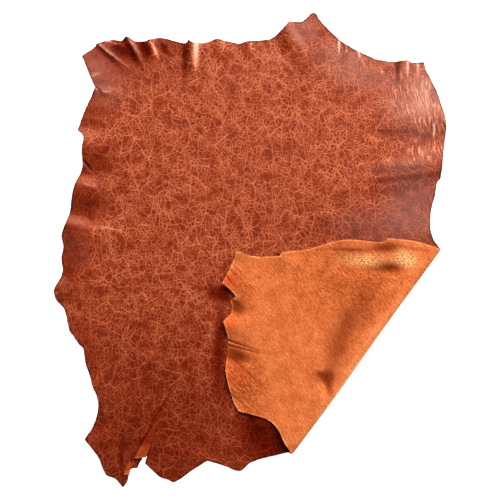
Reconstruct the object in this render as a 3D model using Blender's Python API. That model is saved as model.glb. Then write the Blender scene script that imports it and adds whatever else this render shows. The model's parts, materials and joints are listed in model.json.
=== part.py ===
"""A whole leather hide that lies grain side up, with one corner turned over onto the grain.

Metres, +Z up. The flesh side rests on z = 0, and the origin is under the middle of the hide.
The sheet is cut as one flat outline, ruled into cells, torn, folded, and then given its thickness.
"""

import math
from collections import namedtuple

import bmesh
import bpy
from mathutils import Vector, kdtree, noise

MM = 0.001

THICKNESS = 1.2 * MM

# Sizes of the mesh: points along the rim, cells in the flat middle, and cells where the sheet bends,
# which is near the rim and where a fold moves it. A narrow fold gets lines of its own.
RIM_STEP = 13.0 * MM
COARSE_CELL = 30.0 * MM
FINE_CELL = 15.0 * MM
BENT_BAND = 42.0 * MM
BENT_PUSH = 1.0 * MM
NARROW_FOLD = 31.0 * MM
MERGE = 3.0 * MM
SNAP = 0.01 * MM
ON_LINE = 0.05 * MM

# The corner that is turned over: the outermost line of its fold, which bows a little outwards
# towards its foot, and how the corner comes down to rest.
FOLD_TOP = Vector((378, -3, 0)) * MM
FOLD_FOOT = Vector((84, -407, 0)) * MM
FOLD_BOW = 2.4 * MM
BOW_MIDDLE = 0.72
BOW_SPAN = 0.42
BOW_REACH = 90.0 * MM
FOLD_RADIUS = 6.5 * MM
FOLD_STEPS = 8
LAYER_GAP = 1.2 * MM
SETTLE = 75.0 * MM

# Low waves that the rim takes from drying.
WAVE_HEIGHT = 5.0 * MM
WAVE_LENGTH = 62.0 * MM
WAVE_REACH = 55.0 * MM
WAVE_SHARE = 0.15

# The tears: one side rises over the other, and its margin curls back over itself. The sheet has no
# folds near them, and its full folds from further away.
TEAR_START = 12.0 * MM
TEAR_GAP = 0.4 * MM
TEAR_LIFT = 1.9 * MM
TEAR_END_CUT = 30.0 * MM
LEVEL_NEAR_TEAR = 18.0 * MM
FOLDED_FROM_TEAR = 63.0 * MM
CURL_RADIUS = 2.4 * MM
CURL_TURN = math.radians(165)
CURL_STEPS = 8

SHARP = True
SOFT = False

# The rim, clockwise, in millimetres. A sharp point is a corner, and a soft one is rounded.
Rim = namedtuple("Rim", "x y sharp")

NECK = (
    Rim(-336, 388, SHARP),
    Rim(-309, 407, SOFT),
    Rim(-306, 414, SHARP),
    Rim(-276, 420, SOFT),
    Rim(-256, 418, SHARP),
    Rim(-248, 427, SHARP),
    Rim(-242, 425, SOFT),
    Rim(-231, 417, SOFT),
    Rim(-209, 416, SHARP),
    Rim(-180, 424, SOFT),
    Rim(-126, 412, SOFT),
    Rim(-120, 418, SHARP),
    Rim(-111, 413, SOFT),
    Rim(-86, 415, SOFT),
    Rim(-67, 422, SHARP),
    Rim(-22, 412, SHARP),
    Rim(-6, 417, SOFT),
    Rim(40, 422, SOFT),
    Rim(58, 435, SOFT),
    Rim(77, 456, SHARP),
    Rim(104, 457, SOFT),
    Rim(124, 474, SOFT),
    Rim(133, 472, SOFT),
    Rim(138, 461, SOFT),
    Rim(184, 416, SOFT),
    Rim(212, 400, SOFT),
    Rim(249, 382, SHARP),
    Rim(289, 376, SOFT),
    Rim(316, 380, SHARP),
    Rim(321, 375, SOFT),
)

RIGHT_FLANK = (
    Rim(347, 375, SHARP),
    Rim(351, 361, SOFT),
    Rim(361, 343, SHARP),
    Rim(378, 301, SOFT),
    Rim(390, 264, SOFT),
    Rim(392, 238, SOFT),
    Rim(384, 184, SOFT),
    Rim(381, 157, SOFT),
    Rim(380, 144, SHARP),
    Rim(374, 135, SOFT),
    Rim(371, 113, SHARP),
    Rim(362, 78, SOFT),
    Rim(360, 41, SHARP),
    Rim(368, 19, SOFT),
)

# The turned corner's rim, in the place where it lies on top of the hide.
TURNED_CORNER = (
    Rim(361, 8, SOFT),
    Rim(330, 17, SOFT),
    Rim(277, 24, SHARP),
    Rim(263, 16, SOFT),
    Rim(196, 21, SOFT),
    Rim(165, 16, SOFT),
    Rim(116, 2, SOFT),
    Rim(64, -4, SHARP),
    Rim(59, -12, SHARP),
    Rim(12, -13, SOFT),
    Rim(-7, -9, SOFT),
    Rim(-26, -1, SHARP),
    Rim(-34, -23, SOFT),
    Rim(-55, -66, SHARP),
    Rim(-40, -78, SOFT),
    Rim(-28, -92, SHARP),
    Rim(-38, -101, SHARP),
    Rim(-37, -124, SOFT),
    Rim(-53, -141, SHARP),
    Rim(-44, -178, SOFT),
    Rim(-46, -216, SOFT),
    Rim(-49, -240, SOFT),
    Rim(-34, -300, SOFT),
    Rim(-23, -321, SHARP),
    Rim(18, -332, SOFT),
    Rim(39, -341, SOFT),
    Rim(55, -357, SOFT),
    Rim(70, -387, SOFT),
)

BELLY = (
    Rim(76, -404, SHARP),
    Rim(20, -418, SOFT),
    Rim(-2, -427, SOFT),
    Rim(-20, -441, SOFT),
    Rim(-56, -430, SOFT),
    Rim(-85, -420, SHARP),
    Rim(-112, -438, SOFT),
    Rim(-151, -464, SOFT),
    Rim(-164, -459, SHARP),
    Rim(-176, -455, SOFT),
    Rim(-200, -430, SHARP),
    Rim(-196, -415, SHARP),
    Rim(-217, -420, SHARP),
    Rim(-222, -429, SOFT),
    Rim(-225, -436, SHARP),
    Rim(-236, -437, SOFT),
)

LEG = (
    Rim(-244, -444, SHARP),
    Rim(-246, -460, SOFT),
    Rim(-255, -474, SHARP),
    Rim(-270, -457, SOFT),
    Rim(-288, -449, SOFT),
    Rim(-304, -412, SOFT),
    Rim(-330, -378, SHARP),
    Rim(-312, -348, SOFT),
    Rim(-303, -308, SOFT),
    Rim(-317, -259, SOFT),
    Rim(-328, -230, SOFT),
)

LEFT_FLANK = (
    Rim(-333, -197, SHARP),
    Rim(-342, -188, SHARP),
    Rim(-361, -161, SHARP),
    Rim(-371, -118, SOFT),
    Rim(-387, -100, SOFT),
    Rim(-392, -84, SHARP),
    Rim(-375, -44, SOFT),
    Rim(-377, -16, SOFT),
    Rim(-373, 7, SOFT),
    Rim(-377, 23, SHARP),
    Rim(-361, 72, SOFT),
    Rim(-355, 106, SOFT),
    Rim(-334, 168, SHARP),
    Rim(-336, 199, SOFT),
    Rim(-333, 221, SOFT),
    Rim(-345, 238, SHARP),
    Rim(-331, 276, SOFT),
    Rim(-309, 322, SHARP),
)

# Folds of the body, in millimetres. Each is full at its first end, dies out at its second end, and
# leans sideways by the last column, to the left of its direction where that is positive.
Fold = namedtuple("Fold", "x0 y0 x1 y1 height width lean")

BODY_FOLDS = (
    Fold(-286, 403, -222, 348, 1.8, 32, -2),
    Fold(-247, 430, -202, 350, 4.5, 14, -1),
    Fold(-206, 424, -188, 370, 6, 22, 2),
    Fold(-118, 424, -114, 322, 12, 36, -2),
    Fold(-66, 424, -60, 372, 4, 26, 0),
    Fold(-4, 420, 2, 372, 3, 30, 0),
    Fold(62, 444, 124, 350, 7, 56, 3),
    Fold(192, 418, 190, 350, 4, 26, 0),
    Fold(303, 384, 305, 320, 8, 28, -3),
    Fold(370, 285, 366, 190, 2.5, 24, 2),
    Fold(392, 174, 100, 96, 8, 88, 3),
    Fold(396, 262, 190, 258, 5.5, 74, 2),
    Fold(-316, 318, -240, 312, 5, 30, 4),
    Fold(-346, 218, -250, 206, 6, 70, 6),
    Fold(-338, 172, -306, 144, 5, 18, 0),
    Fold(-358, 120, -256, 108, 9, 76, 9),
    Fold(-370, 40, -246, 8, 8, 84, 9),
    Fold(-394, -78, -316, -84, 4, 56, 4),
    Fold(-316, -268, -240, -262, 4, 44, -6),
    Fold(-330, -380, -262, -372, 3, 50, 0),
    Fold(-84, -424, -70, -352, 4, 32, 0),
    Fold(-20, -444, -12, -380, 4, 44, 0),
)

# Folds of the turned corner, added to the way it comes down from the fold. A negative height is a dent.
CORNER_FOLDS = (
    Fold(-60, -70, 30, -60, 8, 120, 0),
    Fold(-62, -142, 36, -170, 11, 76, 6),
    Fold(-52, -262, 46, -250, 7, 110, 0),
    Fold(-10, -330, 60, -300, 5, 90, 0),
    Fold(48, -372, 96, -330, 4, 80, 0),
    Fold(-26, 2, 24, -26, 6, 60, 0),
    Fold(64, 2, 84, -70, 6, 70, 0),
    Fold(196, 26, 196, -30, 5, 90, 0),
    Fold(300, 24, 262, -70, 8, 80, -6),
)

# The tears, in millimetres from the closed end to the mouth. Side is 1 where the panel on the left of
# that direction is the one that rises, tuck is how far it covers the other, and turned is the length
# of margin that curls back, with its end cut at a slant.
Tear = namedtuple("Tear", "x0 y0 x1 y1 side tuck reach turned slant")

TEARS = (
    Tear(-174, -312, -217, -420, 1, 12, 80, 26, 0.6),
    Tear(-239, -400, -244, -444, -1, 2, 24, 16, -0.2),
)

# Finishes of the grain side, the flesh side and the cut rim: name, colour and roughness.
FINISHES = (
    ("crackled_grain", (0.33, 0.055, 0.02), 0.38),
    ("suede_flesh", (0.66, 0.17, 0.045), 0.85),
    ("raw_edge", (0.55, 0.16, 0.06), 0.8),
)

FOLD_ALONG = (FOLD_FOOT - FOLD_TOP).normalized()
FOLD_OUT = Vector((-FOLD_ALONG.y, FOLD_ALONG.x, 0))
FOLD_START = FOLD_TOP - FOLD_OUT * FOLD_RADIUS
HALF_TURN = math.pi * FOLD_RADIUS
REST_HEIGHT = 2 * THICKNESS + LAYER_GAP


def ease(share):
    """A smooth step from 0 to 1 as share goes from 0 to 1."""
    share = min(max(share, 0.0), 1.0)
    return share * share * (3 - 2 * share)


def fade(share):
    """A smooth hump, 1 at 0 and nothing from 1 outwards on both sides."""
    if abs(share) >= 1:
        return 0.0
    return math.cos(0.5 * math.pi * share) ** 2


def smooth_rim(rows, step):
    """Points a step apart on a closed curve through the rows, with a corner at each sharp row."""
    points = []
    for index, row in enumerate(rows):
        after = rows[(index + 1) % len(rows)]
        start = Vector((row.x, row.y, 0)) * MM
        end = Vector((after.x, after.y, 0)) * MM
        before = 2 * start - end
        beyond = 2 * end - start
        if not row.sharp:
            before = Vector((rows[index - 1].x, rows[index - 1].y, 0)) * MM
        if not after.sharp:
            following = rows[(index + 2) % len(rows)]
            beyond = Vector((following.x, following.y, 0)) * MM
        span = (end - start).length
        leave = (end - before) * span / (span + (start - before).length)
        arrive = (beyond - start) * span / (span + (beyond - end).length)
        count = max(1, round(span / step))
        for number in range(count):
            t = number / count
            place = start * (2 * t**3 - 3 * t**2 + 1) + end * (3 * t**2 - 2 * t**3)
            points.append(place + leave * (t**3 - 2 * t**2 + t) + arrive * (t**3 - t**2))
    return points


def unfold(row):
    """The flat place of a rim point of the turned corner."""
    place = Vector((row.x, row.y, 0)) * MM
    inward = (FOLD_START - place).dot(FOLD_OUT)
    flat = place + FOLD_OUT * (2 * inward + HALF_TURN)
    return Rim(flat.x / MM, flat.y / MM, row.sharp)


def flat_outline():
    """The hide's outline as it was before the corner was turned over."""
    corner = tuple(unfold(row) for row in TURNED_CORNER)
    return smooth_rim(NECK + RIGHT_FLANK + corner + BELLY + LEG + LEFT_FLANK, RIM_STEP)


def reach_along(face, axis):
    """The lowest and highest place of a face along an axis."""
    places = [vert.co.dot(axis) for vert in face.verts]
    return min(places), max(places)


def cut(bm, faces, point, normal):
    """Cut the faces that a line crosses, and return what they become."""
    edges = dict.fromkeys(edge for face in faces for edge in face.edges)
    verts = dict.fromkeys(vert for face in faces for vert in face.verts)
    geometry = [*verts, *edges, *faces]
    result = bmesh.ops.bisect_plane(bm, geom=geometry, dist=SNAP, plane_co=point, plane_no=normal)
    return [item for item in result["geom"] if isinstance(item, bmesh.types.BMFace)]


def rule(bm, faces, axis, spacing):
    """Cut the faces along parallel lines that stand a spacing apart along the axis."""
    todo = list(faces)
    reaches = [reach_along(face, axis) for face in todo]
    highest = max(high for low, high in reaches)
    line = math.ceil(min(low for low, high in reaches) / spacing) * spacing
    while line < highest:
        ahead = [face for face in todo if reach_along(face, axis)[1] > line + SNAP]
        crossed = [face for face in ahead if reach_along(face, axis)[0] < line - SNAP]
        beyond = [face for face in ahead if reach_along(face, axis)[0] >= line - SNAP]
        todo = beyond + cut(bm, crossed, axis * line, axis)
        line += spacing


def faces_on_line(bm, point, axis, start, along, length):
    """Faces that a line crosses within a length of its start."""
    found = []
    for face in bm.faces:
        low, high = reach_along(face, axis)
        near, far = reach_along(face, along)
        line = point.dot(axis)
        crosses = low < line - SNAP and high > line + SNAP
        if crosses and far > start.dot(along) - length and near < start.dot(along) + length:
            found.append(face)
    return found


def fold_frame(fold):
    """A fold's start, its direction, its left side and its length."""
    start = Vector((fold.x0, fold.y0, 0)) * MM
    run = Vector((fold.x1, fold.y1, 0)) * MM - start
    along = run.normalized()
    return start, along, Vector((-along.y, along.x, 0)), run.length


def cut_narrow_folds(bm):
    """Rule lines along the crests and feet of the folds that a cell is too wide for."""
    for fold in BODY_FOLDS:
        if fold.width * MM > NARROW_FOLD:
            continue
        start, along, left, length = fold_frame(fold)
        for share in (-1.0, -0.5, 0.0, 0.5, 1.0):
            point = start + left * share * 0.5 * fold.width * MM
            cut(bm, faces_on_line(bm, point, left, start, along, length), point, left)


def cut_turned_fold(bm):
    """Rule lines along the fold of the turned corner, so that it bends round."""
    length = (FOLD_FOOT - FOLD_TOP).length
    for step in range(FOLD_STEPS + 1):
        point = FOLD_START + FOLD_OUT * HALF_TURN * step / FOLD_STEPS
        crossed = faces_on_line(bm, point, FOLD_OUT, FOLD_START, FOLD_ALONG, 2 * length)
        cut(bm, crossed, point, FOLD_OUT)


def split_tear(bm, tear):
    """Part the sheet along a tear."""
    start, along, left, length = fold_frame(tear)
    middle = start + along * 0.5 * length
    end_cut = faces_on_line(bm, start, along, start, left, TEAR_END_CUT)
    cut(bm, end_cut, start, along)
    cut(bm, faces_on_line(bm, start, left, middle, along, 0.5 * length), start, left)
    seam = []
    for edge in bm.edges:
        offsets = [abs((vert.co - start).dot(left)) for vert in edge.verts]
        onward = [(vert.co - start).dot(along) for vert in edge.verts]
        if max(offsets) < ON_LINE and min(onward) > -SNAP and len(edge.link_faces) == 2:
            seam.append(edge)
    bmesh.ops.split_edges(bm, edges=seam)


def body_push(place):
    """How far the folds of the body lift a place of the sheet and push it sideways."""
    push = Vector()
    for fold in BODY_FOLDS:
        start, along, left, length = fold_frame(fold)
        offset = place - start
        swell = fade(offset.dot(left) / (0.5 * fold.width * MM)) * fade(offset.dot(along) / length)
        push += (left * fold.lean + Vector((0, 0, fold.height))) * MM * swell
    return push


def calm(place):
    """Less than 1 beside a tear, where the layers need level ground."""
    share = 1.0
    for tear in TEARS:
        start, along, left, length = fold_frame(tear)
        onward = min(max((place - start).dot(along), 0.0), length)
        distance = (place - start - along * onward).length
        share = min(share, ease((distance - LEVEL_NEAR_TEAR) / (FOLDED_FROM_TEAR - LEVEL_NEAR_TEAR)))
    return share


def tear_push(place, middle):
    """How far the tears move a place, given the middle of the faces around it."""
    push = Vector()
    for tear in TEARS:
        start, along, left, length = fold_frame(tear)
        away = left * tear.side
        onward = (place - start).dot(along)
        distance = max((place - start).dot(away), 0.0)
        if onward <= 0 or (middle - start).dot(away) <= 0:
            continue
        near = fade(distance / (tear.reach * MM))
        opening = TEAR_GAP * ease(onward / TEAR_START)
        tuck = tear.tuck * MM * ease((onward - TEAR_START) / (length - TEAR_START))
        push += away * (opening - tuck) * near
        push.z += TEAR_LIFT * ease(onward / TEAR_START) * near
    return push


def body_height(place, rim):
    """The folds and rim waves at a place of the body."""
    away = rim.find(place)[2]
    ripple = max(0.0, noise.noise(place / WAVE_LENGTH) + WAVE_SHARE)
    wave = WAVE_HEIGHT * ripple * fade(away / WAVE_REACH)
    return (body_push(place) + Vector((0, 0, wave))) * calm(place)


def corner_height(place, inward):
    """The height of the turned corner's upper side above the layer that it lies on."""
    lift = (2 * FOLD_RADIUS - REST_HEIGHT) * (1 - ease(inward / SETTLE))
    for fold in CORNER_FOLDS:
        start, along, left, length = fold_frame(fold)
        offset = place - start
        swell = fade(offset.dot(left) / (0.5 * fold.width * MM)) * fade(offset.dot(along) / length)
        lift += fold.height * MM * swell * ease(inward / (0.5 * SETTLE))
    return REST_HEIGHT + max(0.0, lift)


def drape(flat, rim):
    """Where a flat place of the sheet comes to lie."""
    beyond = (flat - FOLD_START).dot(FOLD_OUT)
    inward = beyond - HALF_TURN
    on_fold = flat - FOLD_OUT * beyond
    down_fold = (on_fold - FOLD_START).dot(FOLD_ALONG) / (FOLD_FOOT - FOLD_TOP).length
    bow = FOLD_OUT * FOLD_BOW * fade((down_fold - BOW_MIDDLE) / BOW_SPAN)
    bow *= fade(max(-beyond, inward, 0.0) / BOW_REACH)
    if beyond <= 0:
        return flat + bow + body_height(flat, rim)
    if inward < 0:
        turn = beyond / FOLD_RADIUS
        out = FOLD_OUT * FOLD_RADIUS * math.sin(turn)
        return on_fold + bow + out + Vector((0, 0, FOLD_RADIUS * (1 - math.cos(turn))))
    place = on_fold - FOLD_OUT * inward
    return place + bow + Vector((0, 0, corner_height(place, inward)))


def curl(length):
    """How far out and up a margin reaches after a length of it has curled back."""
    turn = min(length / CURL_RADIUS, CURL_TURN)
    straight = length - turn * CURL_RADIUS
    out = CURL_RADIUS * math.sin(turn) + straight * math.cos(turn)
    return out, CURL_RADIUS * (1 - math.cos(turn)) + straight * math.sin(turn)


def turn_margins(bm, flat_layer):
    """Extrude the rising side of each tear into a margin that curls back onto the panel."""
    root_layer = bm.verts.layers.float_vector.new("root")
    for tear in TEARS:
        start, along, left, length = fold_frame(tear)
        away = left * tear.side
        edges = []
        for edge in bm.edges:
            if len(edge.link_faces) != 1:
                continue
            flats = [vert[flat_layer] - start for vert in edge.verts]
            on_line = all(abs(flat.dot(left)) < ON_LINE for flat in flats)
            panel = sum((vert[flat_layer] - start for vert in edge.link_faces[0].verts), Vector())
            onward = [flat.dot(along) for flat in flats]
            if on_line and panel.dot(away) > 0 and max(onward) > TEAR_START:
                edges.append(edge)
        for vert in {vert for edge in edges for vert in edge.verts}:
            vert[root_layer] = vert.co
        for step in range(1, CURL_STEPS + 1):
            result = bmesh.ops.extrude_edge_only(bm, edges=edges)["geom"]
            edges = [item for item in result if isinstance(item, bmesh.types.BMEdge)]
            for vert in (item for item in result if isinstance(item, bmesh.types.BMVert)):
                onward = (vert[flat_layer] - start).dot(along)
                share = max(0.0, (onward - TEAR_START) / (length - TEAR_START))
                width = tear.turned * MM * math.sin(0.5 * math.pi * share) * step / CURL_STEPS
                out, up = curl(width)
                back = max(-out, 0.0) * tear.slant
                vert.co = vert[root_layer] - away * out - along * back + Vector((0, 0, up))
    bmesh.ops.remove_doubles(bm, verts=bm.verts, dist=SNAP)


def bent(face, rim):
    """Whether a face needs fine cells: near the rim, or in a fold."""
    place = face.calc_center_median()
    if rim.find(place)[2] < BENT_BAND:
        return True
    beyond = (place - FOLD_START).dot(FOLD_OUT)
    return beyond < 0 and body_push(place).length > BENT_PUSH


def make_material(name, colour, roughness):
    """A plain finish for one side of the hide."""
    material = bpy.data.materials.new(name)
    material.use_nodes = True
    shader = material.node_tree.nodes["Principled BSDF"]
    shader.inputs["Base Color"].default_value = (*colour, 1.0)
    shader.inputs["Roughness"].default_value = roughness
    shader.inputs["Metallic"].default_value = 0.0
    return material


def make_hide():
    """The whole hide, as one sheet with its thickness."""
    outline = flat_outline()
    rim = kdtree.KDTree(len(outline))
    for index, point in enumerate(outline):
        rim.insert(point, index)
    rim.balance()

    bm = bmesh.new()
    bm.faces.new([bm.verts.new(point) for point in reversed(outline)])
    for axis in (Vector((1, 0, 0)), Vector((0, 1, 0))):
        rule(bm, bm.faces, axis, COARSE_CELL)
    for axis in (Vector((1, 0, 0)), Vector((0, 1, 0))):
        rule(bm, [face for face in bm.faces if bent(face, rim)], axis, FINE_CELL)
    cut_narrow_folds(bm)
    bmesh.ops.remove_doubles(bm, verts=bm.verts, dist=MERGE)
    bm.normal_update()
    overturned = [face for face in bm.faces if face.normal.z < 0]
    bmesh.ops.delete(bm, geom=overturned, context="FACES")
    cut_turned_fold(bm)
    for tear in TEARS:
        split_tear(bm, tear)

    flat_layer = bm.verts.layers.float_vector.new("flat")
    moves = {}
    for vert in bm.verts:
        vert[flat_layer] = vert.co
        middle = sum((face.calc_center_median() for face in vert.link_faces), Vector())
        middle /= len(vert.link_faces)
        moves[vert] = drape(vert.co, rim) + tear_push(vert.co, middle)
    for vert, place in moves.items():
        vert.co = place
    turn_margins(bm, flat_layer)

    bmesh.ops.recalc_face_normals(bm, faces=bm.faces)
    mesh = bpy.data.meshes.new("hide")
    bm.to_mesh(mesh)
    bm.free()
    mesh.shade_smooth()
    hide = bpy.data.objects.new("hide", mesh)
    bpy.context.scene.collection.objects.link(hide)
    for finish in FINISHES:
        mesh.materials.append(make_material(*finish))
    solidify = hide.modifiers.new("thickness", "SOLIDIFY")
    solidify.thickness = THICKNESS
    solidify.offset = 1.0
    solidify.material_offset = 1
    solidify.material_offset_rim = 2
    return hide


for old in list(bpy.data.objects):
    bpy.data.objects.remove(old, do_unlink=True)
make_hide()
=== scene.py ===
"""The looks of a whole leather hide: crackled grain, suede flesh side and raw edges.

The sheet is made once more at a finer scale than the solid that it replaces: the same outline, folds,
turned corner and tears, then fine creases, uneven rims and the finish of each side. Metres, +Z up.

It is cut flat, ruled into cells and torn, laid down in its folds, painted with how much of each finish
and of painted light and shade every place has, and thickened last.
"""

import json
import math
from collections import namedtuple

import bmesh
import bpy
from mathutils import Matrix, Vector, kdtree, noise

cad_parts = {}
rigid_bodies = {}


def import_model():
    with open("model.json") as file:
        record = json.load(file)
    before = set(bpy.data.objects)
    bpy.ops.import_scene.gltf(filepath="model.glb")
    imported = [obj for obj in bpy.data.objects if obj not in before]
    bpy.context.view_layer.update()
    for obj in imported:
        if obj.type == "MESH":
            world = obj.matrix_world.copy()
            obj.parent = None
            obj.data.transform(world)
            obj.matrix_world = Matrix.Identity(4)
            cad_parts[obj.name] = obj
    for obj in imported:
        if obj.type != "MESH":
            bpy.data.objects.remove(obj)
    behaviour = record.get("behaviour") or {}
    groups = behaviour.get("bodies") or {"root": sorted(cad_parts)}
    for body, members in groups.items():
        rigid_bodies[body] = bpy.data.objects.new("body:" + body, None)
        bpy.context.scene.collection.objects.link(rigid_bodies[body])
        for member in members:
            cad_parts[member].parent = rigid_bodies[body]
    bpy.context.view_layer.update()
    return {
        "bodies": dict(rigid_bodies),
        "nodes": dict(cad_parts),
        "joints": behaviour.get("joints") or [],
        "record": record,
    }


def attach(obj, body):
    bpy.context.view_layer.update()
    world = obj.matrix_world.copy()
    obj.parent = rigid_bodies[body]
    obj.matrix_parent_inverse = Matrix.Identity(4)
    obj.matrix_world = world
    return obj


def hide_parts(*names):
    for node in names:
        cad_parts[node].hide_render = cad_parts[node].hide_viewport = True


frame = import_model()

MM = 0.001

# The sheet's own mesh: points along the rim, square cells, slivers merged away, and how near a line a
# point has to be to lie on it. Faces that meet at a sharp angle are shaded apart.
THICKNESS = 1.2 * MM
RIM_STEP = 3.0 * MM
CELL = 4.3 * MM
MERGE = 0.7 * MM
SNAP = 0.01 * MM
ON_LINE = 0.05 * MM
SHARP_ANGLE = math.radians(50)

# The corner that is turned over: the outermost line of its fold, which bows a little outwards
# towards its foot, and how the corner comes down to rest within a distance of the fold.
FOLD_TOP = Vector((378, -3, 0)) * MM
FOLD_FOOT = Vector((84, -407, 0)) * MM
FOLD_BOW = 2.4 * MM
BOW_MIDDLE = 0.72
BOW_SPAN = 0.42
BOW_REACH = 90.0 * MM
FOLD_RADIUS = 6.5 * MM
FOLD_STEPS = 14
LAYER_GAP = 1.2 * MM
SETTLE = 75.0 * MM

# Low waves that the rim takes from drying, with their share of it, and the unevenness of the whole sheet.
WAVE_HEIGHT = 5.0 * MM
WAVE_LENGTH = 62.0 * MM
WAVE_REACH = 55.0 * MM
WAVE_SHARE = 0.15
SWELL_HEIGHT = 1.0 * MM
SWELL_LENGTH = 60.0 * MM

# The knife leaves a slightly uneven rim. How far a place is from it is kept for the finish.
NICK_DEPTH = 0.6 * MM
NICK_LENGTH = 7.0 * MM
RIM_SAMPLE = 0.8 * MM
RIM_REACH = 20.0 * MM

# The tears: one side rises over the other, and past their start its margin curls back over itself. The
# sheet has no folds near them, and its full folds from further away.
TEAR_START = 12.0 * MM
TEAR_GAP = 0.05 * MM
TEAR_LIFT = 1.9 * MM
TEAR_END_CUT = 8.0 * MM
LEVEL_NEAR_TEAR = 18.0 * MM
FOLDED_FROM_TEAR = 63.0 * MM
CURL_RADIUS = 2.4 * MM
CURL_TURN = math.radians(165)
CURL_STEPS = 12

# The curled margins show the flesh side, redder than elsewhere and darkened with painted shade, which is
# less near the mouth of a tear, where light reaches in.
TEAR_SHADE = 1.2
TEAR_RED = -0.9
TEAR_LIGHT = 20 * MM
MOUTH_SHADE = 0.6
MOUTH_RED = 0.45

SHARP = True
SOFT = False

# The rim, clockwise, in millimetres. A sharp point is a corner, and a soft one is rounded.
Rim = namedtuple("Rim", "x y sharp")

NECK = (
    Rim(-336, 388, SHARP),
    Rim(-309, 407, SOFT),
    Rim(-306, 414, SHARP),
    Rim(-276, 420, SOFT),
    Rim(-256, 418, SHARP),
    Rim(-248, 427, SHARP),
    Rim(-242, 425, SOFT),
    Rim(-231, 417, SOFT),
    Rim(-209, 416, SHARP),
    Rim(-180, 424, SOFT),
    Rim(-126, 412, SOFT),
    Rim(-120, 418, SHARP),
    Rim(-111, 413, SOFT),
    Rim(-86, 415, SOFT),
    Rim(-67, 422, SHARP),
    Rim(-22, 412, SHARP),
    Rim(-6, 417, SOFT),
    Rim(40, 422, SOFT),
    Rim(58, 435, SOFT),
    Rim(77, 456, SHARP),
    Rim(104, 457, SOFT),
    Rim(124, 474, SOFT),
    Rim(133, 472, SOFT),
    Rim(138, 461, SOFT),
    Rim(184, 416, SOFT),
    Rim(212, 400, SOFT),
    Rim(249, 382, SHARP),
    Rim(289, 376, SOFT),
    Rim(316, 380, SHARP),
    Rim(321, 375, SOFT),
)

RIGHT_FLANK = (
    Rim(347, 375, SHARP),
    Rim(351, 361, SOFT),
    Rim(361, 343, SHARP),
    Rim(378, 301, SOFT),
    Rim(390, 264, SOFT),
    Rim(392, 238, SOFT),
    Rim(384, 184, SOFT),
    Rim(381, 157, SOFT),
    Rim(380, 144, SHARP),
    Rim(374, 135, SOFT),
    Rim(371, 113, SHARP),
    Rim(362, 78, SOFT),
    Rim(360, 41, SHARP),
    Rim(368, 19, SOFT),
)

# The turned corner's rim, in the place where it lies on top of the hide.
TURNED_CORNER = (
    Rim(361, 8, SOFT),
    Rim(330, 17, SOFT),
    Rim(277, 24, SHARP),
    Rim(263, 16, SOFT),
    Rim(196, 21, SOFT),
    Rim(165, 16, SOFT),
    Rim(116, 2, SOFT),
    Rim(64, -4, SHARP),
    Rim(59, -12, SHARP),
    Rim(12, -13, SOFT),
    Rim(-7, -9, SOFT),
    Rim(-26, -1, SHARP),
    Rim(-34, -23, SOFT),
    Rim(-55, -66, SHARP),
    Rim(-40, -78, SOFT),
    Rim(-28, -92, SHARP),
    Rim(-38, -101, SHARP),
    Rim(-37, -124, SOFT),
    Rim(-53, -141, SHARP),
    Rim(-44, -178, SOFT),
    Rim(-46, -216, SOFT),
    Rim(-49, -240, SOFT),
    Rim(-34, -300, SOFT),
    Rim(-23, -321, SHARP),
    Rim(18, -332, SOFT),
    Rim(39, -341, SOFT),
    Rim(55, -357, SOFT),
    Rim(70, -387, SOFT),
)

BELLY = (
    Rim(76, -404, SHARP),
    Rim(20, -418, SOFT),
    Rim(-2, -427, SOFT),
    Rim(-20, -441, SOFT),
    Rim(-56, -430, SOFT),
    Rim(-85, -420, SHARP),
    Rim(-112, -438, SOFT),
    Rim(-151, -464, SOFT),
    Rim(-164, -459, SHARP),
    Rim(-176, -455, SOFT),
    Rim(-200, -430, SHARP),
    Rim(-196, -415, SHARP),
    Rim(-217, -420, SHARP),
    Rim(-222, -429, SOFT),
    Rim(-225, -436, SHARP),
    Rim(-236, -437, SOFT),
)

LEG = (
    Rim(-244, -444, SHARP),
    Rim(-246, -460, SOFT),
    Rim(-255, -474, SHARP),
    Rim(-270, -457, SOFT),
    Rim(-288, -449, SOFT),
    Rim(-304, -412, SOFT),
    Rim(-330, -378, SHARP),
    Rim(-312, -348, SOFT),
    Rim(-303, -308, SOFT),
    Rim(-317, -259, SOFT),
    Rim(-328, -230, SOFT),
)

LEFT_FLANK = (
    Rim(-333, -197, SHARP),
    Rim(-342, -188, SHARP),
    Rim(-361, -161, SHARP),
    Rim(-371, -118, SOFT),
    Rim(-387, -100, SOFT),
    Rim(-392, -84, SHARP),
    Rim(-375, -44, SOFT),
    Rim(-377, -16, SOFT),
    Rim(-373, 7, SOFT),
    Rim(-377, 23, SHARP),
    Rim(-361, 72, SOFT),
    Rim(-355, 106, SOFT),
    Rim(-334, 168, SHARP),
    Rim(-336, 199, SOFT),
    Rim(-333, 221, SOFT),
    Rim(-345, 238, SHARP),
    Rim(-331, 276, SOFT),
    Rim(-309, 322, SHARP),
)

# Folds of the body, in millimetres. Each is full at its first end, dies out at its second end, and
# leans sideways by the last column, to the left of its direction where that is positive.
Fold = namedtuple("Fold", "x0 y0 x1 y1 height width lean")

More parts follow.
